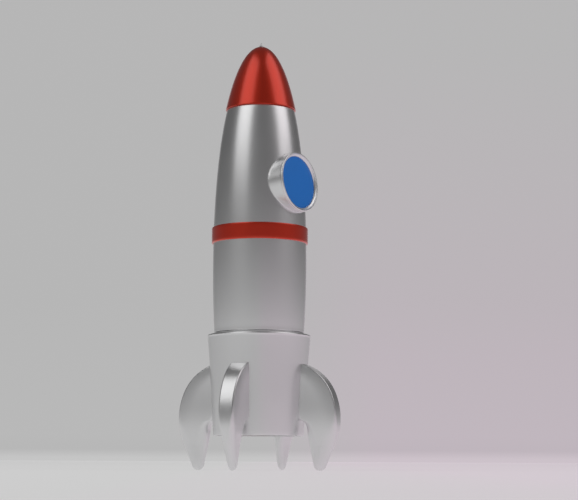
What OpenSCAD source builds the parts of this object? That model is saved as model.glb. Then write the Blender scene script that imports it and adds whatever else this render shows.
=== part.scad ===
// Model rocket: tapered body, lift-off nose cone, porthole, and a tail housing on four footed fins.
// Millimetres. The origin is on the floor, on the rocket's own axis, and +Z is up.
// The four fins lie along the X and Y axes.

/* [Airframe] */
// Height of the whole rocket, from the floor to the tip of the spike
rocket_h = 300; // [298:1:306]
// Radius of the two shells where they meet, under the band
shell_r = 32.3; // [32:0.1:32.6]
// Radius of the upper shell at its top edge
neck_r = 23.8; // [23.6:0.1:24.2]
// Wall of the two shells
shell_wall = 1.5; // [1.3:0.1:1.5]
// Height of the joint between the two shells
joint_z = 161.8; // [160:0.1:163]

/* [Nose] */
// Height of the nose cone, without its spike
nose_h = 46.3; // [44:0.1:48]
// Radius of the nose cone at its lower edge
nose_r = 24.6; // [24.4:0.1:25]
// Radius of the plug below the nose cone
shoulder_r = 21.1; // [20.8:0.1:21.1]
// How far the spike stands out of the nose cone
spike_h = 2.7; // [2:0.1:4]

/* [Band] */
// Outside radius of the band
band_r = 33.55; // [33.2:0.05:34.5]
// Height of the band
band_h = 11.3; // [9:0.1:12]

/* [Tail housing] */
// Radius of the rim round the top of the housing
can_r = 35.65; // [35.4:0.05:36]
// Radius of the housing at its lower edge
can_foot_r = 31; // [30.8:0.1:31.4]
// Height of the housing's lower edge above the floor
can_foot_z = 23.5; // [23:0.5:24]
// Height of the housing's top face above the floor
can_top_z = 92.9; // [92:0.1:94]
// Wall of the housing
can_wall = 1.8; // [1.6:0.1:1.8]

/* [Fins] */
// Distance from the axis to the outermost point of a fin
fin_reach = 58.5; // [56:0.5:62]
// Thickness of a fin over most of its height
fin_t = 11.2; // [9:0.1:12]
// Thickness of a fin at its top, where it flares
fin_root_t = 13.4; // [12:0.1:14]
// Distance from the axis to the middle of a foot
foot_at = 45.1; // [44:0.1:46]
// Radius of the rounded foot
foot_r = 4.6; // [4:0.1:4.8]

/* [Porthole] */
// Outside radius of the porthole
port_r = 20.8; // [20.5:0.1:21.2]
// Radius of the window that shows
window_r = 17.3; // [16.8:0.1:17.4]
// Height at which the porthole's axis leaves the rocket's axis
port_z = 193.8; // [190:0.1:194]
// Distance along the porthole's axis to its front face
port_reach = 35; // [34.5:0.1:37]
// How far the porthole is turned from the fin at -Y towards the fin at -X
port_turn = 15.5; // [0:0.5:30]
// How far the porthole looks up
port_tilt = 5.5; // [3:0.5:7]

/* [Motor mount] */
// Radius of the bore that takes the motor
motor_bore_r = 12.1; // [12.05:0.01:12.2]
// Length of the motor
motor_l = 70; // [70:1:70]

/* [Launch lug] */
// Radius of the bore that the launch rod passes through
lug_bore_r = 2.6; // [2.5:0.1:3]
// Length of the launch lug
lug_l = 44; // [30:1:48]

/* [Hidden] */

$fn = 96;

SILVER = "#b9b9bd";
RED = "#a83226";
BLUE = "#2664b2";
STEEL = "#8d9096";
CARD = "#c9a878";
RUBBER = "#26262a";
CANOPY = "#d9732a";

glue_gap = 0.05;       // between pieces that are glued or pressed together
slip_gap = 0.2;        // between the nose's plug and its socket
cut = 1;               // how far a cutting solid runs past what it cuts

// Heights along the axis
nose_top_z = rocket_h - spike_h;
nose_z = nose_top_z - nose_h;
neck_z = nose_z - slip_gap;
band_z = joint_z - band_h / 2;
shell_foot_z = can_top_z + 1.2;

// Nose
seat_h = 7;                                     // how far the plug reaches up into the nose cone
seat_r = nose_r - 2.8;
plug_z = nose_z - 22;                           // underside of the plug
plug_wall = 1.5;
ballast_h = 6;
ballast_r = 13;
spike_stem_r = 1.1;
spike_base_r = 1.9;
spike_base_z = nose_top_z - 0.3;                // the spike's base sits in a shallow recess
spike_stem_h = 5;

// Eye bolts and nuts, shared by the nose and the cord anchor
bolt_r = 1.2;
eye_r = 3.2;
wire_r = 0.9;
nut_r = 2.9;
nut_h = 2.4;
hole_gap = 0.1;

// Coupler and neck sleeve
coupler_h = 24;
coupler_z = joint_z - coupler_h / 2;
coupler_r = shell_r - 1.85;
coupler_wall = 1.2;
sleeve_r = shoulder_r + slip_gap;
sleeve_wall = 0.85;

// Tail
spigot_r = 29.45;
spigot_h = 16;
spigot_wall = 1.5;
plate_t = 2.5;
recess_h = 7;                                   // depth of the hollow under the tail plate
plate_z = can_foot_z + recess_h;
tube_wall = 0.5;
tube_r = motor_bore_r + tube_wall;
motor_top_z = plate_z + motor_l;
ring_r_in = tube_r + glue_gap;
screw_at = 26.6;
screw_r = 1.1;
screw_head_r = 2.1;
screw_l = 12;
post_r = 3.4;
post_h = 16;
forward_z = motor_top_z + 2;                    // underside of the forward ring
middle_z = 72;                                  // underside of the middle ring
anchor_at = 20;                                 // distance of the cord anchor from the axis
root_r = 26;                                    // inside the housing's wall, where fins and lug are trimmed

// Fins
tab_t = 3;
tab_z = 36;
tab_h = 33;
fin_top_z = 71.6;
widest_z = 32;                                  // height of the fin's outermost point
arch_z = 33.8;                                  // where the leg leaves the housing

// Thrust ring: a cap on the top end of the motor tube
thrust_bore_r = 9.6;
thrust_z = motor_top_z + 0.3;
thrust_r = ring_r_in + 1.4;
thrust_skirt = 3.5;                             // how far it reaches down round the tube

// Motor hook
hook_turn = 135;                                // between the fins at -X and +Y
hook_t = 0.7;
hook_w = 5;
hook_r = tube_r + 0.3;                          // inner face of the strip
hook_flex = 3.5;                                // largest angle that it springs out
hook_room = 0.8;                                // room left behind the sprung hook
hook_top_z = motor_top_z + 0.4;
bend_r = 0.55;                                  // rolled bend at the hook's top, which it springs about
bend_at = hook_r + hook_t / 2;
bend_z = hook_top_z + hook_t / 2;
lip_r = motor_bore_r - 2.4;
tab_drop = 4;                                   // how far the finger tab reaches below the lip
notch_w = hook_w + 1;

// Launch lug
lug_turn = 45;
lug_wall = 0.7;
lug_at = can_r + lug_bore_r + lug_wall + 0.25;
lug_z = 44;

// Porthole, along its own axis
window_t = 2;
window_depth = 2;                               // front of the window below the front of the rim
seal_t = 0.8;
rim_h = 1.4;
spigot_port_r = port_r - 1.4;
spigot_port_in = 17;                            // inner end of the collar's spigot
port_bore_r = 15.8;
port_nut_r = 21;
port_nut_t = 2.8;
pocket_r = port_r - 2.5;                        // pocket that holds the window and its seal
window_face = port_reach - window_depth;

// Points on a cubic curve from a to d, with b and c as its handles
function curve(a, b, c, d, n) = [
    for (i = [0:n]) let (t = i / n)
        pow(1 - t, 3) * a + 3 * pow(1 - t, 2) * t * b + 3 * (1 - t) * t * t * c + pow(t, 3) * d
];
// Points on an arc round c, from angle a0 to angle a1
function arc(c, r, a0, a1, n = 8) = [
    for (i = [0:n]) let (a = a0 + (a1 - a0) * i / n) c + r * [cos(a), sin(a)]
];
function reverse(points) = [for (i = [len(points) - 1:-1:0]) points[i]];
// The same outline, moved inwards by a wall's thickness
function inwards(points, wall) = [for (p = points) [p.x - wall, p.y]];
function above(points, z) = [for (p = points) if (p.y > z) p];
// How far from the axis a notch at height z must reach to clear the sprung hook
function notch_r(z) = hook_r + hook_t + (bend_z - z) * sin(hook_flex) + hook_room;

// Outlines of the outside, as [radius, height]
nose_curve = curve([nose_r, nose_z + 0.6], [nose_r - 4, nose_z + 20], [12.6, nose_top_z], [0, nose_top_z], 32);
nose_inner_curve = curve(
    [0, nose_top_z - 2.4], [11, nose_top_z - 2.4], [seat_r - 3.4, nose_z + 21], [seat_r, nose_z + seat_h], 20
);
upper_curve = curve(
    [shell_r - 0.1, band_z + band_h + 1], [shell_r - 0.9, joint_z + 35], [neck_r + 5.2, neck_z - 23],
    [neck_r, neck_z], 28
);
lower_curve = curve(
    [shell_r - 1.2, shell_foot_z + 1.8], [shell_r + 0.1, shell_foot_z + 21], [shell_r + 0.4, band_z - 18],
    [shell_r + 0.1, band_z - 0.5], 20
);
can_side = curve(
    [can_foot_r, can_foot_z + 0.5], [can_foot_r + 1.6, can_foot_z + 16], [can_r - 1.35, can_foot_z + 34],
    [can_r - 1.1, can_foot_z + 53], 14
);
can_step = curve(
    [can_r - 1.1, can_foot_z + 53.2], [can_r - 1.05, can_foot_z + 55.5], [can_r - 0.05, can_foot_z + 54.5],
    [can_r, can_foot_z + 57], 6
);
// Half of a fin's thickness against height: a rounded foot, an even plate, and a flare at the top
fin_side = concat(
    curve([0, 0], [0.27 * fin_t, 0], [0.31 * fin_t, 7], [0.37 * fin_t, 15], 8),
    curve([0.38 * fin_t, 17], [0.45 * fin_t, 25], [fin_t / 2, 29], [fin_t / 2, 40], 6),
    curve([fin_t / 2, 42], [fin_t / 2, 55], [0.52 * fin_t, 62], [fin_root_t / 2, fin_top_z + 1], 4)
);
can_outline = concat(
    [[can_foot_r - 0.5, can_foot_z]], can_side, can_step,
    arc([can_r - 2.2, can_top_z - 2.2], 2.2, 0, 90), [[spigot_r, can_top_z]]
);

module on_port_axis() {
    translate([0, 0, port_z]) rotate([0, 0, -90 - port_turn]) rotate([0, 90 - port_tilt, 0]) children();
}

module ring(r_in, r_out, h) {
    difference() {
        cylinder(r = r_out, h = h);
        translate([0, 0, -cut]) cylinder(r = r_in, h = h + 2 * cut);
    }
}

// The solid inside the tail housing's outer face, grown by a gap
module can_solid(gap) {
    rotate_extrude() polygon(concat(
        [[0, can_foot_z]], [for (p = can_outline) [p.x + gap, p.y]], [[0, can_top_z]]
    ));
}

// Screw eye: a ring of wire on a straight shank that points up
module eye_bolt(shank_l) {
    cylinder(r = bolt_r, h = shank_l);
    translate([0, 0, -eye_r]) rotate([90, 0, 0]) rotate_extrude($fn = 48) {
        translate([eye_r, 0]) circle(r = wire_r, $fn = 24);
    }
}

module hex_nut() {
    difference() {
        cylinder(r = nut_r, h = nut_h, $fn = 6);
        translate([0, 0, -cut]) cylinder(r = bolt_r + glue_gap, h = nut_h + 2 * cut, $fn = 32);
    }
}

module nose_cone() {
    color(RED) difference() {
        rotate_extrude() polygon(concat(
            [[seat_r, nose_z], [nose_r - 0.5, nose_z]], nose_curve, nose_inner_curve
        ));
        translate([0, 0, spike_base_z - spike_stem_h]) cylinder(r = spike_stem_r + glue_gap, h = nose_h, $fn = 48);
        translate([0, 0, spike_base_z - glue_gap]) cylinder(r = spike_base_r + glue_gap, h = nose_h, $fn = 48);
    }
}

module nose_spike() {
    stem_z = spike_base_z - spike_stem_h;
    tip_r = 0.5;
    color(SILVER) rotate_extrude($fn = 48) polygon(concat(
        [[0, stem_z], [spike_stem_r, stem_z], [spike_stem_r, spike_base_z], [spike_base_r, spike_base_z]],
        arc([0, rocket_h - tip_r], tip_r, 25, 90, 5)
    ));
}

module nose_shoulder() {
    color("gainsboro") difference() {
        union() {
            translate([0, 0, plug_z]) cylinder(r = shoulder_r, h = nose_z - plug_z);
            translate([0, 0, nose_z]) cylinder(r = seat_r - glue_gap, h = seat_h - 1);
        }
        translate([0, 0, plug_z + 2]) cylinder(r = shoulder_r - plug_wall, h = nose_h);
        translate([0, 0, plug_z - cut]) cylinder(r = bolt_r + hole_gap, h = 2 + 2 * cut, $fn = 32);
    }
}

module nose_ballast() {
    color(STEEL) translate([0, 0, plug_z + 2 + glue_gap]) ring(bolt_r + hole_gap, ballast_r, ballast_h);
}

module nose_eye() {
    color(STEEL) translate([0, 0, plug_z - 3]) eye_bolt(ballast_h + nut_h + 7);
}

module nose_nut() {
    color(STEEL) translate([0, 0, plug_z + 2 + ballast_h + 2 * glue_gap]) hex_nut();
}

module upper_shell() {
    coupler_top = coupler_z + coupler_h;
    color(SILVER) difference() {
        rotate_extrude() polygon(concat(
            [[coupler_r + glue_gap, joint_z], [shell_r, joint_z]], upper_curve,
            reverse(inwards(above(upper_curve, coupler_top), shell_wall)),
            [[coupler_r + glue_gap, coupler_top]]
        ));
        on_port_axis() cylinder(r = spigot_port_r + hole_gap, h = 2 * port_reach);
    }
}

module neck_sleeve() {
    flange_z = neck_z - 24;
    flange_r = neck_r + 2.4;
    color("gainsboro") {
        translate([0, 0, flange_z]) ring(sleeve_r, sleeve_r + sleeve_wall, neck_z - flange_z);
        translate([0, 0, flange_z]) ring(sleeve_r, flange_r, 1.6);
    }
}

module mid_band() {
    round_r = 0.8;
    color(RED) rotate_extrude() polygon(concat(
        [[shell_r + 0.15, band_z]],
        arc([band_r - round_r, band_z + round_r], round_r, -90, 0, 4),
        arc([band_r - round_r, band_z + band_h - round_r], round_r, 0, 90, 4),
        [[shell_r + 0.15, band_z + band_h]]
    ));
}

module body_coupler() {
    color(CARD) translate([0, 0, coupler_z]) ring(coupler_r - coupler_wall, coupler_r, coupler_h);
}

module lower_shell() {
    foot_in = spigot_r + glue_gap;
    curl = 1.6;                                 // radius of the edge that curls in above the housing
    inner = [for (p = lower_curve) if (p.y > shell_foot_z + 2 && p.y < coupler_z) [p.x - shell_wall, p.y]];
    color(SILVER) rotate_extrude() polygon(concat(
        [[foot_in, shell_foot_z]],
        arc([lower_curve[0].x - curl, shell_foot_z + curl], curl, -90, 0, 6),
        lower_curve,
        [[shell_r, joint_z], [coupler_r + glue_gap, joint_z], [coupler_r + glue_gap, coupler_z]],
        reverse(inner),
        [[foot_in, shell_foot_z + 2]]
    ));
}

module porthole_collar() {
    face = port_reach - rim_h;
    color(SILVER) difference() {
        on_port_axis() difference() {
            union() {
                translate([0, 0, spigot_port_in]) cylinder(r = spigot_port_r, h = face - spigot_port_in);
                translate([0, 0, spigot_port_in]) cylinder(r = port_r, h = face - spigot_port_in);
            }
            cylinder(r = port_bore_r, h = port_reach);
            translate([0, 0, window_face - window_t - seal_t]) cylinder(r = pocket_r, h = port_reach);
        }
        // The saddle: everything inside the shell's outer face goes, except the spigot
        difference() {
            rotate_extrude() polygon(concat(
                [[0, joint_z]], [[shell_r, joint_z]], inwards(upper_curve, -glue_gap), [[0, neck_z]]
            ));
            on_port_axis() cylinder(r = spigot_port_r, h = port_reach);
        }
    }
}

module porthole_nut() {
    color(STEEL) on_port_axis() translate([0, 0, spigot_port_in]) {
        ring(spigot_port_r + glue_gap, port_nut_r, port_nut_t);
    }
}

module porthole_seal() {
    color(RUBBER) on_port_axis() translate([0, 0, window_face - window_t - seal_t]) {
        ring(port_bore_r + 0.8, pocket_r - glue_gap, seal_t);
    }
}

module porthole_window() {
    color(BLUE) on_port_axis() translate([0, 0, window_face - window_t]) {
        cylinder(r = pocket_r - glue_gap, h = window_t);
    }
}

module porthole_rim() {
    lip = 0.7;                                  // radius of the rounded lip
    seat = port_reach - rim_h;
    color(SILVER) on_port_axis() rotate_extrude() polygon(concat(
        [[window_r, window_face + glue_gap], [pocket_r - glue_gap, window_face + glue_gap],
         [pocket_r - glue_gap, seat], [port_r, seat]],
        arc([port_r - lip, port_reach - lip], lip, 0, 110, 8),
        [[window_r + 1.4, port_reach - 0.9], [window_r, window_face + 0.7]]
    ));
}

// Four posts for the tail screws, each with a rib out to the housing's wall
module screw_posts() {
    intersection() {
        for (a = [45:90:315]) rotate([0, 0, a]) translate([screw_at, 0, plate_z + plate_t + glue_gap]) {
            cylinder(r = post_r, h = post_h, $fn = 32);
            translate([0, -post_r / 2, 0]) cube([can_r - screw_at, post_r, post_h]);
        }
        can_solid(-can_wall / 2);
    }
}

module fin_can() {
    inner_side = inwards(concat(can_side, can_step), can_wall);
    color(SILVER) difference() {
        union() {
            rotate_extrude() polygon(concat(
                can_outline,
                [[spigot_r, can_top_z + spigot_h], [spigot_r - spigot_wall, can_top_z + spigot_h],
                 [spigot_r - spigot_wall, can_top_z - 2], [can_r - can_wall, can_top_z - 5]],
                reverse(inner_side),
                [[can_foot_r - can_wall, can_foot_z]]
            ));
            screw_posts();
        }
        for (a = [45:90:315]) rotate([0, 0, a]) {
            translate([screw_at, 0, plate_z]) cylinder(r = screw_r + glue_gap, h = post_h, $fn = 24);
        }
        for (a = [0:90:270]) rotate([0, 0, a]) {
            translate([root_r, -tab_t / 2 - hole_gap, tab_z - hole_gap]) {
                cube([can_r - root_r, tab_t + 2 * hole_gap, tab_h + 2 * hole_gap]);
            }
        }
    }
}

// A fin with its tab, pointing along +X
module fin() {
    foot = [foot_at, foot_r];
    outer_foot = foot + foot_r * [cos(-20), sin(-20)];
    inner_foot = foot + foot_r * [cos(190), sin(190)];
    leg_top = [37, 26];
    outline = concat(
        [[root_r, arch_z]],
        curve([31.5, arch_z], [35, arch_z], [leg_top.x, leg_top.y + 6], leg_top, 8),
        curve(leg_top, leg_top - [-0.3, 10], inner_foot + [-1.3, 8], inner_foot, 8),
        arc(foot, foot_r, 190, 340, 12),
        curve(outer_foot, outer_foot + [2.8, 7.6], [fin_reach, widest_z - 12], [fin_reach, widest_z], 12),
        curve([fin_reach, widest_z], [fin_reach, widest_z + 24], [47, 67], [34, fin_top_z + 0.4], 16),
        [[root_r, fin_top_z]]
    );
    difference() {
        intersection() {
            rotate([90, 0, 0]) translate([0, 0, -fin_root_t]) linear_extrude(2 * fin_root_t) polygon(outline);
            rotate([90, 0, 90]) linear_extrude(fin_reach + cut) {
                polygon(concat(fin_side, [for (p = reverse(fin_side)) [-p.x, p.y]]));
            }
        }
        can_solid(glue_gap);
    }
    translate([tube_r + glue_gap, -tab_t / 2, tab_z]) cube([can_r - tube_r - 1, tab_t, tab_h]);
}

module fin_front() { color(SILVER) rotate([0, 0, 270]) fin(); }
module fin_right() { color(SILVER) fin(); }
module fin_back() { color(SILVER) rotate([0, 0, 90]) fin(); }
module fin_left() { color(SILVER) rotate([0, 0, 180]) fin(); }

// A block on the hook's side of the motor tube, from radius r0 to r1 and height z0 to z1
module hook_block(r0, r1, w, z0, z1) {
    rotate([0, 0, hook_turn]) translate([r0, -w / 2, z0]) cube([r1 - r0, w, z1 - z0]);
}

module motor_tube() {
    color(CARD) translate([0, 0, plate_z]) ring(motor_bore_r, tube_r, motor_l);
}

module thrust_ring() {
    skirt_z = thrust_z - thrust_skirt;
    color(CARD) difference() {
        union() {
            translate([0, 0, thrust_z]) ring(thrust_bore_r, thrust_r, forward_z + plate_t - thrust_z);
            translate([0, 0, skirt_z]) ring(ring_r_in, thrust_r, thrust_skirt);
        }
        hook_block(0, thrust_r + cut, notch_w, skirt_z - cut, hook_top_z + hook_t + 0.4);
    }
}

module hook_collar() {
    collar_h = 6;
    collar_z = motor_top_z - 10;
    channel_r = notch_r(collar_z);
    color(CARD) difference() {
        translate([0, 0, collar_z]) ring(ring_r_in, channel_r + 1.2, collar_h);
        hook_block(0, channel_r, notch_w, collar_z - cut, collar_z + collar_h + cut);
    }
}

module motor_hook() {
    r_out = hook_r + hook_t;
    lip_z = plate_z - hook_t - 0.1;
    color(STEEL) {
        hook_block(hook_r, r_out, hook_w, lip_z - tab_drop, bend_z);
        hook_block(lip_r, bend_at, hook_w, hook_top_z, hook_top_z + hook_t);
        hook_block(lip_r, r_out, hook_w, lip_z, lip_z + hook_t);
        rotate([0, 0, hook_turn]) translate([bend_at, hook_w / 2, bend_z]) rotate([90, 0, 0]) {
            cylinder(r = bend_r, h = hook_w, $fn = 32);
        }
    }
}

// A flat ring round the motor tube, with its underside at height z and a notch for the hook
module centring_ring(r_out, z) {
    difference() {
        translate([0, 0, z]) ring(ring_r_in, r_out, plate_t);
        hook_block(0, notch_r(z), notch_w, z - cut, z + plate_t + cut);
    }
}

module ring_middle() {
    color(CARD) centring_ring(can_r - can_wall - 1.5, middle_z);
}

module ring_forward() {
    color(CARD) difference() {
        translate([0, 0, forward_z]) ring(thrust_r + glue_gap, spigot_r - spigot_wall - glue_gap, plate_t);
        translate([anchor_at, 0, forward_z - cut]) {
            cylinder(r = bolt_r + hole_gap, h = plate_t + 2 * cut, $fn = 32);
        }
    }
}

module tail_plate() {
    color(SILVER) difference() {
        centring_ring(can_foot_r - can_wall + 0.45, plate_z);
        for (a = [45:90:315]) rotate([0, 0, a]) {
            translate([screw_at, 0, plate_z - cut]) cylinder(r = screw_r + 0.2, h = plate_t + 2 * cut, $fn = 24);
        }
    }
}

module tail_screws() {
    head_h = 1.4;
    color(STEEL) for (a = [45:90:315]) rotate([0, 0, a]) translate([screw_at, 0, plate_z]) difference() {
        union() {
            translate([0, 0, -head_h]) cylinder(r = screw_head_r, h = head_h - 0.02, $fn = 32);
            translate([0, 0, -0.1]) cylinder(r = screw_r, h = screw_l, $fn = 24);
        }
        for (turn = [0, 90]) rotate([0, 0, turn]) translate([-1.2, -0.25, -head_h - cut]) cube([2.4, 0.5, cut + 0.7]);
    }
}

module cord_anchor() {
    color(STEEL) translate([anchor_at, 0, forward_z + plate_t + 1]) mirror([0, 0, 1]) eye_bolt(plate_t + nut_h + 2);
}

module anchor_nut() {
    color(STEEL) translate([anchor_at, 0, forward_z - nut_h - glue_gap]) hex_nut();
}

module launch_lug() {
    r_out = lug_bore_r + lug_wall;
    web_t = 1.6;
    color(SILVER) rotate([0, 0, lug_turn]) difference() {
        translate([0, 0, lug_z]) union() {
            translate([lug_at, 0, 0]) cylinder(r = r_out, h = lug_l, $fn = 48);
            translate([root_r, -web_t / 2, 2]) cube([lug_at - root_r, web_t, lug_l - 4]);
        }
        translate([lug_at, 0, lug_z - cut]) cylinder(r = lug_bore_r, h = lug_l + 2 * cut, $fn = 48);
        can_solid(glue_gap);
    }
}

module parachute() {
    pack_r = 16;
    pack_x = -7;                                // leaves room for the cord anchor
    pack_h = 58;
    end_r = 4;
    color(CANOPY) translate([pack_x, 0, forward_z + plate_t + 0.5]) rotate_extrude() polygon(concat(
        [[0, 0]], arc([pack_r - end_r, end_r], end_r, -90, 0),
        arc([pack_r - end_r, pack_h - end_r], end_r, 0, 90), [[0, pack_h]]
    ));
}

nose_cone();
nose_spike();
nose_shoulder();
nose_ballast();
nose_eye();
nose_nut();
upper_shell();
neck_sleeve();
mid_band();
body_coupler();
lower_shell();
porthole_collar();
porthole_nut();
porthole_seal();
porthole_window();
porthole_rim();
fin_can();
fin_front();
fin_right();
fin_back();
fin_left();
motor_tube();
thrust_ring();
hook_collar();
motor_hook();
ring_middle();
ring_forward();
tail_plate();
tail_screws();
cord_anchor();
anchor_nut();
launch_lug();
parachute();
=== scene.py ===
"""Model rocket: the looks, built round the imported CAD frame.

Metres, +Z up. The rocket stands on Z = 0 with its axis on Z, and the camera is near the -X side.
"""
from math import cos, degrees, hypot, pi, radians, sin

import bmesh
import bpy
from mathutils import Matrix, Vector


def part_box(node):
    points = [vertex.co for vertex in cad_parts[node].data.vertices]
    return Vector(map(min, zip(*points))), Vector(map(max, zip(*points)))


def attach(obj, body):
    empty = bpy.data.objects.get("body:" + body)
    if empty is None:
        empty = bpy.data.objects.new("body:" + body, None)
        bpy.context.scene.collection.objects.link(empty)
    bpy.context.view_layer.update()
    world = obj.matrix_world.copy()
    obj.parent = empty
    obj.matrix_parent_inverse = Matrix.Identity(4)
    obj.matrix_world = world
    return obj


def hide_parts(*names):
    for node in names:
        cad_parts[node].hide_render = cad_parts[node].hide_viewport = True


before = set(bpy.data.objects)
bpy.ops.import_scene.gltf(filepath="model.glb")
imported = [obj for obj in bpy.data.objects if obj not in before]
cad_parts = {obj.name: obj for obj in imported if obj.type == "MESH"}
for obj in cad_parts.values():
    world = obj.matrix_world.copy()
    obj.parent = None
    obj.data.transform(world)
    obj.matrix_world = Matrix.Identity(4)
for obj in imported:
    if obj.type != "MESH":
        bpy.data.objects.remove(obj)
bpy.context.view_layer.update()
mm = 0.001

# ---------------------------------------------------------------- sizes, read from the frame


def top(node):
    """Height of a node's highest point."""
    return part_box(node)[1].z


def bottom(node):
    """Height of a node's lowest point."""
    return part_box(node)[0].z


def reach(node):
    """Largest distance that a turned node reaches from the axis."""
    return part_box(node)[1].x


nose_z, nose_r = bottom("nose_cone"), reach("nose_cone")
spike_top, spike_high = top("nose_spike"), 2.7 * mm
nose_top = spike_top - spike_high
neck_z = top("upper_shell")
joint_z = bottom("upper_shell")
shell_r = reach("upper_shell")
band_z, band_top = bottom("mid_band"), top("mid_band")
band_r = reach("mid_band")
shell_foot = bottom("lower_shell")
can_r, can_foot, spigot_top = reach("fin_can"), bottom("fin_can"), top("fin_can")
can_top = shell_foot - 1.2 * mm
fin_reach, fin_top = reach("fin_right"), top("fin_right")
fin_thick, fin_root_thick = 11.2 * mm, 13.4 * mm

neck_r = nose_r - 0.8 * mm
can_foot_r = can_r - 4.65 * mm
spigot_r = can_r - 6.2 * mm
shell_wall = 1.5 * mm
can_wall = 1.8 * mm

# The porthole's own axis: it starts on the rocket's axis and looks out and a little up
port_turn, port_tilt = radians(15.5), radians(5.5)
port_z = 193.8 * mm
port_r, window_r = 20.8 * mm, 18.1 * mm
spigot_port_r, pocket_r = port_r - 1.4 * mm, port_r - 2.5 * mm
port_front, window_face = 35 * mm, 33 * mm
rim_seat = port_front - 1.4 * mm
port_matrix = (
    Matrix.Translation((0, 0, port_z))
    @ Matrix.Rotation(-pi / 2 - port_turn, 4, "Z")
    @ Matrix.Rotation(pi / 2 - port_tilt, 4, "Y")
)

# ---------------------------------------------------------------- camera

camera_azimuth = radians(-68)
camera_distance = 1.107
camera_height = 9.2 * mm
back = Vector((sin(camera_azimuth), -cos(camera_azimuth), 0))
side = Vector((cos(camera_azimuth), sin(camera_azimuth), 0))


def add_object(name, data):
    """Puts an object with this mesh, lamp or camera into the scene."""
    thing = bpy.data.objects.new(name, data)
    bpy.context.scene.collection.objects.link(thing)
    return thing


def make_camera():
    """Almost on the floor, tipped up, with the rocket left of the middle."""
    data = bpy.data.cameras.new("camera")
    data.lens, data.sensor_width = 99.65, 36
    data.clip_start, data.clip_end = 0.01, 60
    camera = add_object("camera", data)
    pitch, yaw, roll = radians(7.37), radians(1.055), radians(0.3)
    camera.matrix_world = (
        Matrix.Translation(back * camera_distance + Vector((0, 0, camera_height)))
        @ Matrix.Rotation(camera_azimuth - yaw, 4, "Z")
        @ Matrix.Rotation(pi / 2 + pitch, 4, "X")
        @ Matrix.Rotation(roll, 4, "Z")
    )
    bpy.context.scene.camera = camera


make_camera()

# ---------------------------------------------------------------- outlines


def curve(a, b, c, d, n=40):
    """Points on a cubic curve from a to d, with b and c as its handles."""
    a, b, c, d = (Vector(p) for p in (a, b, c, d))
    points = []
    for i in range(n + 1):
        t = i / n
        u = 1 - t
        points.append(u**3 * a + 3 * u**2 * t * b + 3 * u * t * t * c + t**3 * d)
    return points


def arc(centre, radius, start, end, n=8):
    """Points on an arc round centre, from angle start to angle end, in degrees."""
    centre = Vector(centre)
    angles = [radians(start + (end - start) * i / n) for i in range(n + 1)]
    return [centre + radius * Vector((cos(a), sin(a))) for a in angles]


def inwards(points, wall):
    """The same line, one wall's thickness nearer to the axis."""
    return [Vector((p.x - wall, p.y)) for p in points]


def at_height(points, z):
    """The x of the upward line through points at height z."""
    for low, high in zip(points, points[1:]):
        if low.y <= z <= high.y and high.y > low.y:
            return low.x + (high.x - low.x) * (z - low.y) / (high.y - low.y)
    return points[0].x if z < points[0].y else points[-1].x


def refined(points, step, closed):
    """The same outline with its long straight stretches cut into steps."""
    most_pieces = 60
    points = [Vector(p) for p in points]
    ends = points[1:] + points[:1] if closed else points[1:]
    found = []
    for start, end in zip(points, ends):
        pieces = max(1, min(most_pieces, round((end - start).length / step)))
        found += [start.lerp(end, i / pieces) for i in range(pieces)]
    return found if closed else found + [points[-1]]


nose_curve = curve(
    (nose_r, nose_z + 0.6 * mm), (nose_r - 4 * mm, nose_z + 20 * mm),
    (12.6 * mm, nose_top), (0, nose_top), 64
)
upper_curve = curve(
    (shell_r - 0.1 * mm, band_top + 1 * mm), (shell_r - 0.9 * mm, joint_z + 35 * mm),
    (neck_r + 5.2 * mm, neck_z - 23 * mm), (neck_r, neck_z), 64
)
lower_curve = curve(
    (shell_r - 1.2 * mm, shell_foot + 1.8 * mm), (shell_r + 0.1 * mm, shell_foot + 21 * mm),
    (shell_r + 0.4 * mm, band_z - 18 * mm), (shell_r + 0.1 * mm, band_z - 0.5 * mm), 48
)
can_side = curve(
    (can_foot_r, can_foot + 0.5 * mm), (can_foot_r + 1.6 * mm, can_foot + 22 * mm),
    (can_r - 2.2 * mm, can_foot + 45 * mm), (can_r - 0.1 * mm, can_top - 1.2 * mm), 48
)


# ---------------------------------------------------------------- mesh building


def finished_mesh(name, bm):
    """The mesh of bm, its faces turned outwards."""
    mesh = bpy.data.meshes.new(name)
    bmesh.ops.recalc_face_normals(bm, faces=bm.faces)
    bm.to_mesh(mesh)
    bm.free()
    return mesh


def new_piece(name, bm, body, material, replaces):
    """Makes one piece of the rocket, in place of the CAD nodes that it replaces."""
    mesh = finished_mesh(name, bm)
    mesh.shade_smooth()
    mesh.set_sharp_from_angle(angle=radians(32))
    mesh.materials.append(material)
    piece = add_object(name, mesh)
    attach(piece, body)
    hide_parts(*replaces)
    return piece


def add_turned(bm, outline, closed=True, around=192, place=Matrix.Identity(4), step=1.5 * mm):
    """Turns an outline of (radius, height) points round the Z axis of place.

    wear goes from 0 where the outline runs straight to 1 where it bends by full_wear degrees or more.
    """
    full_wear = 12
    points = refined(outline, step, closed)
    wear = bm.verts.layers.float.get("wear") or bm.verts.layers.float.new("wear")
    count = len(points)
    rings = []
    for i, p in enumerate(points):
        before, after = points[i - 1], points[(i + 1) % count]
        turn = 0.0
        if closed or 0 < i < count - 1:
            first, second = p - before, after - p
            turn = abs(degrees(first.angle_signed(second, 0.0)))
        on_axis = p.x < 0.001 * mm
        angles = [0.0] if on_axis else [2 * pi * k / around for k in range(around)]
        ring = [bm.verts.new(place @ Vector((p.x * cos(a), p.x * sin(a), p.y))) for a in angles]
        for vertex in ring:
            vertex[wear] = min(1.0, turn / full_wear)
        rings.append(ring)
    if closed:
        rings.append(rings[0])
    for low, high in zip(rings, rings[1:]):
        join_rings(bm, low, high)


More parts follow.
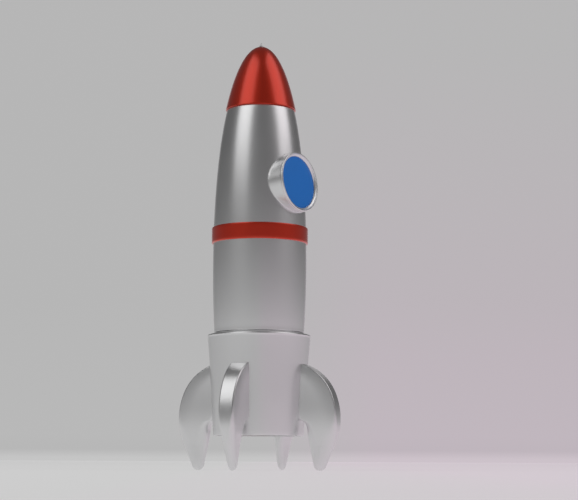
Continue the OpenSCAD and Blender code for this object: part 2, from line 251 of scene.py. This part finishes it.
def join_rings(bm, low, high):
    """Joins two rings of vertices with faces. A ring of one vertex is a pole."""
    around = max(len(low), len(high))
    if around == 1:
        return
    for k in range(around):
        corners = [low[k % len(low)], low[(k + 1) % len(low)], high[(k + 1) % len(high)], high[k % len(high)]]
        corners = list(dict.fromkeys(corners))
        if len(corners) > 2:
            bm.faces.new(corners)


def turned(name, outline, body, slot, material, replaces, **how):
    """A piece that is one turned outline."""
    bm = bmesh.new()
    add_turned(bm, outline, **how)
    return new_piece(name, bm, body, material, replaces)


def add_box(bm, place, middle, size):
    """Adds a box to bm and gives back its corners."""
    matrix = place @ Matrix.Translation(middle) @ Matrix.Diagonal((*size, 1))
    return bmesh.ops.create_cube(bm, size=1, matrix=matrix)["verts"]


def add_loops(bm, loops):
    """Joins closed sections, one for each step round an axis, into one closed ring."""
    rings = [[bm.verts.new(p) for p in loop] for loop in loops]
    for first, second in zip(rings, rings[1:] + rings[:1]):
        join_rings(bm, first, second)


# ---------------------------------------------------------------- materials


class Nodes:
    """A small helper that adds and links shader nodes of one material."""

    def __init__(self, name):
        self.material = bpy.data.materials.new(name)
        self.material.use_nodes = True
        self.tree = self.material.node_tree
        self.shader = self.tree.nodes["Principled BSDF"]
        self.place = self.add("ShaderNodeTexCoord").outputs["Object"]

    def add(self, kind, **settings):
        node = self.tree.nodes.new(kind)
        for key, value in settings.items():
            setattr(node, key, value)
        return node

    def link(self, source, target):
        self.tree.links.new(source, target)

    def set(self, **values):
        for key, value in values.items():
            self.shader.inputs[key.replace("_", " ")].default_value = value

    def noise(self, scale, detail=3.0, stretch=(1, 1, 1), rough=0.5):
        mapping = self.add("ShaderNodeMapping")
        mapping.inputs["Scale"].default_value = stretch
        self.link(self.place, mapping.inputs["Vector"])
        node = self.add("ShaderNodeTexNoise")
        node.inputs["Scale"].default_value = scale
        node.inputs["Detail"].default_value = detail
        node.inputs["Roughness"].default_value = rough
        self.link(mapping.outputs["Vector"], node.inputs["Vector"])
        return node.outputs["Fac"]

    def spread(self, source, low, high, start=0.0, end=1.0):
        """Maps a value from start..end to low..high."""
        node = self.add("ShaderNodeMapRange", clamp=True)
        for name, value in zip(("From Min", "From Max", "To Min", "To Max"), (start, end, low, high)):
            node.inputs[name].default_value = value
        self.link(source, node.inputs["Value"])
        return node.outputs["Result"]

    def math(self, operation, a, b):
        node = self.add("ShaderNodeMath", operation=operation)
        for socket, value in zip(node.inputs, (a, b)):
            if isinstance(value, (int, float)):
                socket.default_value = value
            else:
                self.link(value, socket)
        return node.outputs["Value"]

    def mix(self, factor, a, b):
        node = self.add("ShaderNodeMix", data_type="RGBA")
        self.link(factor, node.inputs["Factor"])
        for socket, value in zip((node.inputs[6], node.inputs[7]), (a, b)):
            if isinstance(value, tuple):
                socket.default_value = (*value, 1)
            else:
                self.link(value, socket)
        return node.outputs[2]

    def bump(self, height, distance, strength=1.0):
        node = self.add("ShaderNodeBump")
        node.inputs["Distance"].default_value = distance
        node.inputs["Strength"].default_value = strength
        self.link(height, node.inputs["Height"])
        self.link(node.outputs["Normal"], self.shader.inputs["Normal"])

    def wear(self):
        return self.add("ShaderNodeAttribute", attribute_name="wear").outputs["Fac"]


def metallic_paint(name, colour, worn, roughness, metal, coat):
    """Satin metallic paint: fine flake, faint clouding, orange peel, and rubbed edges."""
    n = Nodes(name)
    flake = n.spread(n.noise(5200, 1.0), -0.02, 0.02, 0.3, 0.7)
    cloud = n.spread(n.noise(34, 4.0), -0.012, 0.012, 0.3, 0.7)
    rubbed = n.math("MULTIPLY", n.wear(), n.spread(n.noise(260, 5.0, rough=0.7), 0.0, 0.5, 0.45, 0.65))
    tone = n.spread(n.noise(22, 3.0), 0.0, 1.0, 0.3, 0.7)
    darker = tuple(c * 0.985 for c in colour)
    n.link(n.mix(rubbed, n.mix(tone, darker, colour), worn), n.shader.inputs["Base Color"])
    rough = n.math("ADD", n.math("ADD", cloud, flake), roughness)
    n.link(n.math("ADD", rough, n.math("MULTIPLY", rubbed, 0.1)), n.shader.inputs["Roughness"])
    n.bump(n.noise(900, 2.0), 0.00001, 0.35)
    n.set(Metallic=metal, Coat_Weight=coat, Coat_Roughness=0.2)
    return n.material


def window_material():
    n = Nodes("window_blue")
    tone = n.spread(n.noise(30, 2.0), 0.0, 1.0, 0.3, 0.7)
    n.link(n.mix(tone, (0.018, 0.225, 0.76), (0.020, 0.240, 0.80)), n.shader.inputs["Base Color"])
    n.link(n.spread(n.noise(420, 3.0), 0.30, 0.36, 0.3, 0.7), n.shader.inputs["Roughness"])
    n.bump(n.noise(160, 2.0), 0.00001, 0.2)
    return n.material


def moulded_plastic(name, colour):
    n = Nodes(name)
    tone = n.spread(n.noise(60, 4.0), 0.0, 1.0, 0.3, 0.7)
    n.link(n.mix(tone, tuple(c * 0.92 for c in colour), colour), n.shader.inputs["Base Color"])
    n.link(n.spread(n.noise(700, 3.0), 0.42, 0.55, 0.3, 0.7), n.shader.inputs["Roughness"])
    n.bump(n.noise(1600, 2.0), 0.00002, 0.5)
    return n.material


def wound_card():
    """Kraft card with stretched fibres and faint dark spots."""
    n = Nodes("card")
    fibres = n.noise(500, 6.0, stretch=(1, 1, 0.25), rough=0.7)
    spots = n.spread(n.noise(1500, 2.0), 0.0, 1.0, 0.35, 0.65)
    brown = n.mix(n.spread(fibres, 0.0, 1.0, 0.3, 0.7), (0.36, 0.24, 0.13), (0.52, 0.38, 0.23))
    n.link(n.mix(n.math("MULTIPLY", spots, 0.25), brown, (0.20, 0.13, 0.07)), n.shader.inputs["Base Color"])
    n.bump(fibres, 0.00005, 0.8)
    n.set(Roughness=0.85)
    return n.material


def plated_steel():
    n = Nodes("steel")
    drawn = n.noise(1400, 3.0, stretch=(1, 1, 0.08))
    n.link(n.spread(drawn, 0.28, 0.42, 0.3, 0.7), n.shader.inputs["Roughness"])
    tone = n.spread(n.noise(120, 4.0), 0.0, 1.0, 0.3, 0.7)
    n.link(n.mix(tone, (0.50, 0.51, 0.52), (0.60, 0.60, 0.60)), n.shader.inputs["Base Color"])
    n.bump(drawn, 0.00001, 0.4)
    n.set(Metallic=1.0)
    return n.material


def seal_rubber():
    n = Nodes("rubber")
    n.link(n.mix(n.noise(300, 3.0), (0.012, 0.012, 0.013), (0.03, 0.03, 0.03)), n.shader.inputs["Base Color"])
    n.set(Roughness=0.7)
    return n.material


def ripstop():
    """Thin nylon with a raised square grid of thicker threads."""
    n = Nodes("canopy")
    grid = n.add("ShaderNodeTexBrick", offset=0.0, squash=1.0)
    n.link(n.place, grid.inputs["Vector"])
    for key, value in (("Scale", 400.0), ("Mortar Size", 0.04), ("Brick Width", 1.0), ("Row Height", 1.0)):
        grid.inputs[key].default_value = value
    n.link(n.mix(grid.outputs["Fac"], (0.74, 0.24, 0.04), (0.86, 0.34, 0.08)), n.shader.inputs["Base Color"])
    n.bump(grid.outputs["Fac"], 0.00008, 0.6)
    n.set(Roughness=0.55, Sheen_Weight=0.2)
    return n.material


silver = metallic_paint("silver_paint", (0.83, 0.83, 0.835), (0.91, 0.91, 0.91), 0.32, 1.0, 0.0)
red = metallic_paint("red_paint", (0.70, 0.032, 0.007), (0.72, 0.07, 0.03), 0.32, 0.72, 0.65)
blue = window_material()
grey = moulded_plastic("grey_plastic", (0.55, 0.56, 0.58))
card = wound_card()
steel = plated_steel()
rubber = seal_rubber()
nylon = ripstop()

# ---------------------------------------------------------------- nose


def make_nose():
    """The hollow nose cone, and the polished spike let into its tip."""
    seat_r, lip_r = nose_r - 2.8 * mm, 0.3 * mm
    inner = curve(
        (0, nose_top - 2.4 * mm), (11 * mm, nose_top - 2.4 * mm), (seat_r - 3.4 * mm, nose_z + 21 * mm),
        (seat_r, nose_z + 7 * mm), 24
    )
    lip = arc((nose_r - lip_r, nose_z + lip_r), lip_r, -90, -10, 6)
    outline = [(seat_r, nose_z)] + lip + nose_curve + inner
    turned("nose_cone_painted", outline, "nose", "red_paint", red, ["nose_cone"])

    base = nose_top - 0.3 * mm
    pin_r, pin_l, tip_r = 1.1 * mm, 5 * mm, 0.5 * mm
    spike = [(0, base - pin_l), (pin_r, base - pin_l), (pin_r, base)]
    spike += curve((1.9 * mm, base), (1.25 * mm, base + 0.7 * mm), (0.75 * mm, base + 1.6 * mm),
                   (0.45 * mm, spike_top - 0.4 * mm), 8)
    spike += arc((0, spike_top - tip_r), tip_r, 25, 90, 5)
    turned("nose_spike_polished", spike, "nose", "silver_paint", silver, ["nose_spike"],
           closed=False, around=64, step=0.5 * mm)


# ---------------------------------------------------------------- shells and band


def make_shells():
    """The two body shells, which meet under the band, and the band itself."""
    coupler_r = reach("body_coupler") + 0.05 * mm
    coupler_low, coupler_high = bottom("body_coupler"), top("body_coupler")
    lip_r = 0.3 * mm
    inner = [p for p in inwards(upper_curve, shell_wall) if p.y > coupler_high]
    neck_lip = arc((neck_r - lip_r, neck_z - lip_r), lip_r, 10, 90, 4)
    outline = [(coupler_r, joint_z), (shell_r, joint_z)] + upper_curve[:-1] + neck_lip
    outline += inner[::-1] + [(coupler_r, coupler_high)]
    shell = turned("upper_shell_painted", outline, "airframe", "silver_paint", silver, ["upper_shell"])
    cut_hole(shell)

    foot_in, curl = spigot_r + 0.05 * mm, 0.6 * mm
    inner = [p for p in inwards(lower_curve, shell_wall) if shell_foot + 2 * mm < p.y < coupler_low]
    outline = [(foot_in, shell_foot)]
    outline += arc((lower_curve[0].x - curl, shell_foot + curl), curl, -90, 0, 8)
    outline += lower_curve
    outline += [(shell_r, joint_z), (coupler_r, joint_z), (coupler_r, coupler_low)]
    outline += inner[::-1] + [(foot_in, shell_foot + 2 * mm)]
    turned("lower_shell_painted", outline, "airframe", "silver_paint", silver, ["lower_shell"])

    band_in, round_r = shell_r + 0.15 * mm, 0.9 * mm
    outline = [(band_in, band_z)]
    outline += arc((band_r - round_r, band_z + round_r), round_r, -90, 0)
    outline += arc((band_r - round_r, band_top - round_r), round_r, 0, 90)
    outline += [(band_in, band_top)]
    turned("mid_band_painted", outline, "airframe", "red_paint", red, ["mid_band"])


def cut_hole(shell):
    """Cuts the porthole's hole in the shell's wall."""
    bm = bmesh.new()
    radius, length = spigot_port_r + 0.1 * mm, 60 * mm
    add_turned(bm, [(0, 0), (radius, 0), (radius, length), (0, length)], closed=False, around=128,
               place=port_matrix, step=length)
    cutter = add_object("cutter", finished_mesh("cutter", bm))
    modifier = shell.modifiers.new("hole", "BOOLEAN")
    modifier.object, modifier.operation, modifier.solver = cutter, "DIFFERENCE", "EXACT"
    bpy.context.view_layer.objects.active = shell
    bpy.ops.object.modifier_apply(modifier=modifier.name)
    bpy.data.objects.remove(cutter)


# ---------------------------------------------------------------- porthole


def on_shell(radius, angle):
    """How far out along the porthole's axis a line at that radius and angle meets the shell's outer face."""
    near, far = 0.0, port_front
    halvings = 40
    for _ in range(halvings):
        middle = (near + far) / 2
        p = port_matrix @ Vector((radius * cos(angle), radius * sin(angle), middle))
        if hypot(p.x, p.y) > at_height(upper_curve, p.z):
            far = middle
        else:
            near = middle
    return (near + far) / 2


def collar_section(angle):
    """The collar's cut at one angle round its axis, as (radius, distance out) points."""
    seat = window_face - 2.8 * mm
    bore, spigot_in = 15.8 * mm, 17 * mm
    edge, foot_round = 0.35 * mm, 0.3 * mm
    wall_steps = 6
    foot_z = on_shell(port_r, angle) + foot_round
    skirt_r = port_r + foot_round
    foot = [(skirt_r, min(on_shell(skirt_r, angle), foot_z - foot_round) - 0.05 * mm)]
    for turn in (18, 36, 54, 72, 90):
        a = radians(turn)
        foot.append((skirt_r - foot_round * sin(a), foot_z - foot_round * cos(a)))
    wall_high = rim_seat - edge - foot_z
    wall = [(port_r, foot_z + wall_high * i / wall_steps) for i in range(1, wall_steps + 1)]
    inside = [(port_r - edge, rim_seat), (pocket_r, rim_seat), (pocket_r, seat), (bore, seat)]
    spigot_out = on_shell(spigot_port_r, angle) - 0.1 * mm
    spigot = [(bore, spigot_in), (spigot_port_r, spigot_in), (spigot_port_r, spigot_out)]
    return foot + wall + inside + spigot


def make_porthole():
    """The collar, shaped to the shell's curve, the rim in its front, and the window behind the rim."""
    around = 192
    loops = []
    for k in range(around):
        angle = 2 * pi * k / around
        section = collar_section(angle)
        loops.append([port_matrix @ Vector((r * cos(angle), r * sin(angle), z)) for r, z in section])
    bm = bmesh.new()
    add_loops(bm, loops)
    new_piece("porthole_collar_painted", bm, "airframe", silver, ["porthole_collar"])

    lip, slip = 0.75 * mm, 0.05 * mm
    fit_r = pocket_r - slip
    outline = [(window_r, window_face + slip), (fit_r, window_face + slip), (fit_r, rim_seat),
               (port_r - 0.2 * mm, rim_seat), (port_r, rim_seat + 0.2 * mm)]
    outline += arc((port_r - lip, port_front - lip), lip, 0, 115, 12)
    outline += curve(
        (window_r + 1.4 * mm, port_front - 0.5 * mm), (window_r + 0.9 * mm, port_front - 0.7 * mm),
        (window_r + 0.15 * mm, port_front - 1.1 * mm), (window_r, window_face + 0.4 * mm), 10
    )
    turned("porthole_rim_polished", outline, "airframe", "silver_paint", silver, ["porthole_rim"],
           place=port_matrix, step=0.6 * mm)

    crown, thick = window_face + 0.25 * mm, 2 * mm
    outline = [(0, window_face - thick), (fit_r, window_face - thick), (fit_r, window_face)]
    outline += curve((window_r, window_face), (window_r * 0.6, crown), (window_r * 0.3, crown),
                     (0, crown), 20)
    turned("porthole_window_blue", outline, "airframe", "blue_window", blue, ["porthole_window"],
           closed=False, place=port_matrix)


# ---------------------------------------------------------------- tail


def make_can():
    """The housing, with the spigot that plugs into the lower shell."""
    foot_round, top_round, spigot_wall = 0.5 * mm, 1.2 * mm, 1.5 * mm
    spigot_in = spigot_r - spigot_wall
    outline = [(can_foot_r - can_wall, can_foot)]
    outline += arc((can_foot_r - 0.55 * mm, can_foot + foot_round), foot_round, -90, 0, 5)
    outline += can_side[1:]
    outline += arc((can_r - 0.05 * mm - top_round, can_top - top_round), top_round, 5, 90, 10)
    outline += [(spigot_r, can_top), (spigot_r, spigot_top), (spigot_in, spigot_top),
                (spigot_in, can_top - 2 * mm), (can_r - can_wall, can_top - 5 * mm)]
    outline += inwards(can_side, can_wall)[::-1]
    turned("fin_can_painted", outline, "airframe", "silver_paint", silver, ["fin_can"])


def fin_sides():
    """The fin's inner and outer edges as (distance from the axis, height), both from the foot upwards."""
    foot_r = 4.6 * mm
    foot = Vector((45.1 * mm, foot_r))
    outer_foot = foot + foot_r * Vector((cos(radians(-20)), sin(radians(-20))))
    inner_foot = foot + foot_r * Vector((cos(radians(190)), sin(radians(190))))
    leg_top = Vector((37 * mm, 26 * mm))
    arch, widest = 33.8 * mm, 32 * mm
    inner = arc(foot, foot_r, 270, 190, 14)
    inner += curve(inner_foot, inner_foot + Vector((-1.3 * mm, 8 * mm)),
                   leg_top + Vector((0.3 * mm, -10 * mm)), leg_top, 20)[1:]
    inner += curve(leg_top, leg_top + Vector((0, 6 * mm)), (35 * mm, arch), (31 * mm, arch), 18)[1:]
    outer = arc(foot, foot_r, -90, -20, 14)
    outer += curve(outer_foot, outer_foot + Vector((2.8 * mm, 7.6 * mm)),
                   (fin_reach, widest - 12 * mm), (fin_reach, widest), 26)[1:]
    outer += curve((fin_reach, widest), (fin_reach, widest + 24 * mm),
                   (47 * mm, 67 * mm), (34 * mm, fin_top), 40)[1:]
    return inner, outer


def fin_half_widths():
    """Half of the fin's thickness as (half, height): a round toe, an even plate, and a thicker root."""
    half = fin_thick / 2
    line = curve((0, 0), (0.54 * half, 0), (0.62 * half, 7 * mm), (0.74 * half, 15 * mm), 30)
    line += curve((0.76 * half, 17 * mm), (0.90 * half, 25 * mm), (half, 29 * mm), (half, 40 * mm), 20)
    line += curve((half, 42 * mm), (half, 55 * mm), (1.04 * half, 62 * mm),
                  (fin_root_thick / 2, fin_top + 1 * mm), 20)
    return line


def fin_section(inner_r, outer_r, half, z, crisp, slope):
    """One level slice of a fin, its faces slightly domed.

    crisp goes from 0, where the slice is rounded all over, to 1, where only its edges are. slope is the
    sine of the outer edge's slope.
    """
    round_r, dome, dome_reach = 1.1 * mm, 0.5 * mm, 11 * mm
    limit = 0.48 * (outer_r - inner_r)

    def blend(soft, hard):
        return soft + (hard - soft) * crisp

    def face_half(x):
        share = min(1.0, (outer_r - x) * slope / dome_reach)
        return half + crisp * dome * (1 - 2 * (1 - share) ** 2)

    deep = blend(0.97 * half, round_r)
    long_out = blend(limit, min(limit, round_r / max(slope, 0.35)))
    long_in = blend(limit, min(limit, round_r))
    start, end = outer_r - long_out, inner_r + long_in
    turns = [radians(a) for a in (90, 75, 60, 45, 30, 15, 0)]
    outer = [(start + long_out * sin(a), face_half(start) - deep + deep * cos(a)) for a in turns]
    inner = [(end - long_in * sin(a), face_half(end) - deep + deep * cos(a)) for a in reversed(turns)]
    face_steps = 16
    levels = [start + (end - start) * i / face_steps for i in range(1, face_steps)]
    half_loop = outer + [(x, face_half(x)) for x in levels] + inner
    loop = half_loop + [(x, -y) for x, y in reversed(half_loop)]
    return [Vector((x, y, z)) for x, y in loop]


def make_fin(node, turn):
    """A thick plate on a rounded foot, and the tab that goes through the housing's wall.

    Its edges are crisp at the top and get rounder and rounder towards the foot.
    """
    inner, outer = fin_sides()
    half_widths = fin_half_widths()
    bury, edge_wear, edge_points = 1.2 * mm, 0.5, 7
    round_until, crisp_from = 10 * mm, 44 * mm
    levels = sorted(p.y for p in inner + outer)
    levels = [z for i, z in enumerate(levels) if i == 0 or z - levels[i - 1] > 0.02 * mm]
    bm = bmesh.new()
    wear = bm.verts.layers.float.new("wear")
    rings = []
    for z in levels[1:]:
        inner_r = at_height(inner, z) if z < inner[-1].y else at_height(can_side, z) - bury
        step = at_height(outer, z - 0.5 * mm) - at_height(outer, z + 0.5 * mm)
        slope = 1 * mm / hypot(1 * mm, step)
        rise = min(1.0, max(0.0, (z - round_until) / (crisp_from - round_until)))
        crisp = rise * rise * (3 - 2 * rise)
        section = fin_section(inner_r, at_height(outer, z), at_height(half_widths, z), z, crisp, slope)
        ring = [bm.verts.new(p) for p in section]
        for vertex in ring[:edge_points] + ring[-edge_points:]:
            vertex[wear] = edge_wear * crisp
        rings.append(ring)
    for low, high in zip(rings, rings[1:]):
        join_rings(bm, low, high)
    tip = bm.verts.new((inner[0].x, 0, 0))
    join_rings(bm, [tip], rings[0])
    bm.faces.new(rings[-1])
    tab_in, tab_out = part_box("fin_right")[0].x, 33 * mm
    tab_z, tab_high, tab_thick = 52.5 * mm, 33 * mm, 3 * mm
    tab_middle = ((tab_in + tab_out) / 2, 0, tab_z)
    add_box(bm, Matrix.Identity(4), tab_middle, (tab_out - tab_in, tab_thick, tab_high))
    bmesh.ops.rotate(bm, verts=bm.verts, cent=(0, 0, 0), matrix=Matrix.Rotation(turn, 3, "Z"))
    piece = new_piece(node + "_painted", bm, "airframe", silver, [node])
    piece.modifiers.new("normals", "WEIGHTED_NORMAL").keep_sharp = True


def make_lug():
    """The launch lug: a tube with rounded ends on a thin web."""
    low, high = bottom("launch_lug"), top("launch_lug")
    bore, wall = 2.6 * mm, 0.7 * mm
    lug_x = can_r + bore + wall + 0.25 * mm
    lip = wall / 2
    place = Matrix.Rotation(radians(45), 4, "Z")
    outline = arc((bore + lip, low + lip), lip, 180, 360, 8)
    outline += arc((bore + lip, high - lip), lip, 0, 180, 8)
    bm = bmesh.new()
    add_turned(bm, outline, around=64, place=place @ Matrix.Translation((lug_x, 0, 0)))
    inner, outer = can_foot_r + 0.6 * mm, lug_x - bore - lip
    middle = ((inner + outer) / 2, 0, (low + high) / 2)
    web = add_box(bm, place, middle, (outer - inner, 1.6 * mm, high - low - 4 * mm))
    edges = dict.fromkeys(edge for vertex in web for edge in vertex.link_edges)
    bmesh.ops.bevel(bm, geom=list(edges), offset=0.35 * mm, segments=3, profile=0.5, affect="EDGES")
    new_piece("launch_lug_painted", bm, "airframe", silver, ["launch_lug"])


# ---------------------------------------------------------------- parachute


def make_parachute():
    """The folded canopy, rolled up: its outside layers lap over each other and end in a free edge."""
    low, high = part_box("parachute")
    centre = (low + high) / 2
    radius, height = (high.x - low.x) / 2, high.z - low.z
    around, rows, laps, lap_steps = 160, 40, 5, 4
    end_round, fold_deep = 6 * mm, 1.1 * mm
    bm = bmesh.new()

    def at(row, k):
        angle = 2 * pi * k / around
        share = row / rows
        end = min(share, 1 - share) * height
        rounding = 1 - 0.10 * max(0.0, 1 - end / end_round) ** 2
        wrinkle = 0.012 * sin(5 * angle + 9 * share) + 0.010 * sin(11 * angle - 14 * share)
        wrinkle += 0.008 * sin(23 * angle + 31 * share)
        lap_edge = 0.054 * ((angle / (2 * pi) + 0.08 * sin(3 * share * pi)) % 1.0)
        out = min(radius, radius * (0.93 + lap_edge + wrinkle) * rounding)
        return Vector((centre.x + out * cos(angle), centre.y + out * sin(angle), low.z + height * share))

    rings = [[bm.verts.new(at(row, k)) for k in range(around)] for row in range(rows + 1)]
    for first, second in zip(rings, rings[1:]):
        join_rings(bm, first, second)
    for ring, sign in ((rings[0], 1), (rings[-1], -1)):
        previous = ring
        for step in range(1, laps * lap_steps):
            share = 1 - step / (laps * lap_steps)
            fold = Vector((0, 0, sign * fold_deep * (0.5 - 0.5 * cos(2 * pi * step / lap_steps))))
            inner = []
            for vertex in ring:
                middle = Vector((centre.x, centre.y, vertex.co.z))
                inner.append(bm.verts.new(middle.lerp(vertex.co, share) + fold))
            join_rings(bm, previous, inner)
            previous = inner
        hub = bm.verts.new((centre.x, centre.y, previous[0].co.z))
        join_rings(bm, previous, [hub])
    piece = new_piece("parachute_rolled", bm, "airframe", nylon, ["parachute"])


# ---------------------------------------------------------------- CAD nodes that only get a material


def dress(nodes, material):
    """Gives CAD nodes a better material, and leaves their shapes alone."""
    for name in nodes:
        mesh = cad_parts[name].data
        mesh.materials.clear()
        mesh.materials.append(material)


make_nose()
make_shells()
make_porthole()
make_can()
for quarter, fin in enumerate(("fin_right", "fin_back", "fin_left", "fin_front")):
    make_fin(fin, quarter * pi / 2)
make_lug()
make_parachute()
dress(["nose_shoulder", "neck_sleeve", "porthole_nut"], grey)
dress(["body_coupler", "motor_tube", "thrust_ring", "hook_collar", "ring_middle", "ring_forward"], card)
dress(["nose_ballast", "nose_eye", "nose_nut", "cord_anchor", "anchor_nut"], steel)
dress(["motor_hook", "tail_screws"], steel)
dress(["porthole_seal"], rubber)
dress(["tail_plate"], silver)

# ---------------------------------------------------------------- studio


def stage_mesh(name, corners, faces, material):
    """A piece of the stage, which isn't part of the rocket."""
    mesh = bpy.data.meshes.new(name)
    mesh.from_pydata(corners, [], faces)
    mesh.shade_smooth()
    mesh.materials.append(material)
    add_object(name, mesh)


def to_the_right(n, start, end):
    """0 to 1 between two distances to the right of the rocket, as the camera sees it; the mask of the painted
    pink light on the floor and the wall.
    """
    along = n.add("ShaderNodeVectorMath", operation="DOT_PRODUCT")
    n.link(n.place, along.inputs[0])
    along.inputs[1].default_value = side
    return n.spread(along.outputs["Value"], 0.0, 1.0, start, end)


def paint_stage(n, colour, matt, glow):
    """A matt grey surface that glows in colour, so that its tone stays even and shadows stay faint."""
    n.link(colour, n.shader.inputs["Emission Color"])
    n.set(Base_Color=(matt, matt, matt, 1), Roughness=0.9, Specular_IOR_Level=0.1, Emission_Strength=glow)


def make_stage():
    """A floor, and a wall behind the rocket with a small cove at its foot; both glow with a painted pink
    light on their right, as the camera sees it.
    """
    half, far = 14.0, 1.9
    # The second floor colour is a painted pink light, which the floor glows with towards its right.
    floor_grey, floor_painted_pink_light = (0.56, 0.56, 0.56), (0.61, 0.54, 0.59)
    n = Nodes("floor")
    paint_stage(n, n.mix(to_the_right(n, -0.05, 0.12), floor_grey, floor_painted_pink_light), 0.32, 0.87)
    corners = [(-half, -half, 0), (half, -half, 0), (half, half, 0), (-half, half, 0)]
    stage_mesh("floor", corners, [(0, 1, 2, 3)], n.material)

    n = Nodes("wall")
    height = n.add("ShaderNodeSeparateXYZ")
    n.link(n.place, height.inputs["Vector"])
    z = height.outputs["Z"]
    # Painted pink light: the wall glows pink on its right, most strongly low down.
    painted_pink_light = n.math("MULTIPLY", to_the_right(n, 0.0, 0.22), n.spread(z, 1.0, 0.05, 0.2, 0.8))
    # Painted light: the wall glows a little lighter low down than higher up.
    painted_lighter_low_down = n.spread(z, 1.0, 0.0, 0.0, 0.3)
    wall_grey = n.mix(painted_lighter_low_down, (0.452, 0.452, 0.452), (0.47, 0.47, 0.47))
    wall_painted_pink_light = n.mix(painted_lighter_low_down, (0.49, 0.44, 0.475), (0.52, 0.46, 0.505))
    foot = n.spread(z, 1.0, 0.0, 0.007, 0.022)
    colour = n.mix(foot, n.mix(painted_pink_light, wall_grey, wall_painted_pink_light), n.mix(painted_pink_light, floor_grey, floor_painted_pink_light))
    paint_stage(n, colour, 0.12, 0.92)
    wide, tall, cove, lift = 0.8, 1.2, 0.05, 0.2 * mm
    profile = arc((far - cove, lift + cove), cove, -90, 0, 15) + [(far, tall)]
    corners = []
    for depth, z in profile:
        for across in (-wide, wide):
            corners.append(-back * depth + side * across + Vector((0, 0, z)))
    faces = [(2 * i, 2 * i + 1, 2 * i + 3, 2 * i + 2) for i in range(len(profile) - 1)]
    stage_mesh("wall", corners, faces, n.material)


def softbox(name, turn, colour):
    """A large soft light above the rocket. turn is measured round from the camera, to its right."""
    distance, rise, power = 1.6, radians(44), 5.4
    data = bpy.data.lights.new(name, "AREA")
    data.shape, data.size, data.size_y = "RECTANGLE", 1.2, 1.5
    data.energy, data.color = power, colour
    lamp = add_object(name, data)
    level = back * cos(turn) + side * sin(turn)
    aim = Vector((0, 0, 0.2))
    lamp.location = aim + distance * (level * cos(rise) + Vector((0, 0, sin(rise))))
    lamp.rotation_mode = "QUATERNION"
    lamp.rotation_quaternion = (lamp.location - aim).to_track_quat("Z", "Y")
    lamp.visible_camera = False


def make_world():
    """Dim all round, and brighter towards the horizon, where the pale floor runs out."""
    world = bpy.data.worlds.new("studio")
    bpy.context.scene.world = world
    world.use_nodes = True
    tree = world.node_tree
    where = tree.nodes.new("ShaderNodeTexCoord")
    split = tree.nodes.new("ShaderNodeSeparateXYZ")
    ramp = tree.nodes.new("ShaderNodeValToRGB")
    tree.links.new(where.outputs["Generated"], split.inputs["Vector"])
    tree.links.new(split.outputs["Z"], ramp.inputs["Fac"])
    tree.links.new(ramp.outputs["Color"], tree.nodes["Background"].inputs["Color"])
    stops = ((0.0, 0.52), (0.05, 0.32), (0.14, 0.125), (0.30, 0.11))
    while len(ramp.color_ramp.elements) < len(stops):
        ramp.color_ramp.elements.new(0.5)
    for element, (height, value) in zip(ramp.color_ramp.elements, stops):
        element.position, element.color = height, (value, value, value, 1)


make_stage()
softbox("left_softbox", radians(-55), (1, 1, 1))
softbox("right_softbox", radians(77), (1.0, 0.96, 0.98))
make_world()
bpy.context.scene.view_settings.view_transform = "Standard"
